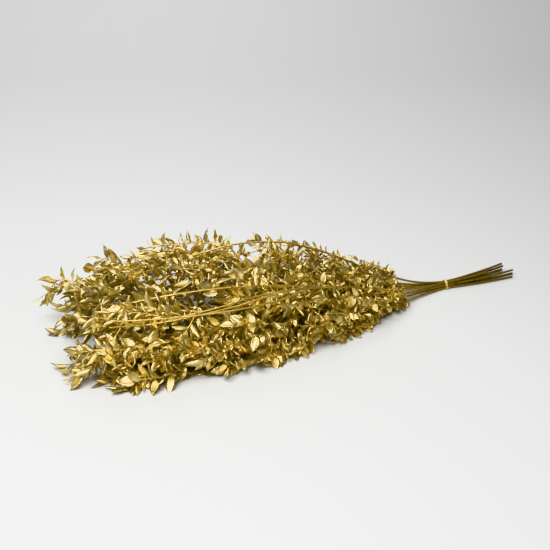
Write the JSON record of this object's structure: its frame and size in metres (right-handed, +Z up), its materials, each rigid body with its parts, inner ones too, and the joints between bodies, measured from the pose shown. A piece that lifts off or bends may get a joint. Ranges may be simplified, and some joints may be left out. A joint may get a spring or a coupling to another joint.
{
  "type": "bunch of dried ruscus",
  "caption": "Tied bunch of dried ruscus sprayed gold, lying flat: bare stalks gathered in a narrow band open into a broad fan of twigs with small pointed leaves.",
  "frame": {"origin": "on the surface it lies on, under the middle of the bunch's box", "axes": "+X along the bunch to the cut ends, +Z up, +Y across"},
  "size_m": [0.705, 0.271, 0.1217],
  "materials": {
    "gilt_growth": "satin gold spray paint over dried stems and leaves",
    "gilt_tie": "satin gold spray paint over the tie"
  },
  "bodies": {
    "root": {"leafy_stem_1": "gilt_growth", "leafy_stem_2": "gilt_growth", "leafy_stem_3": "gilt_growth", "leafy_stem_4": "gilt_growth", "leafy_stem_5": "gilt_growth", "leafy_stem_6": "gilt_growth", "leafy_stem_7": "gilt_growth", "leafy_stem_8": "gilt_growth", "leafy_stem_9": "gilt_growth", "tie_band": "gilt_tie"}
  },
  "joints": []
}
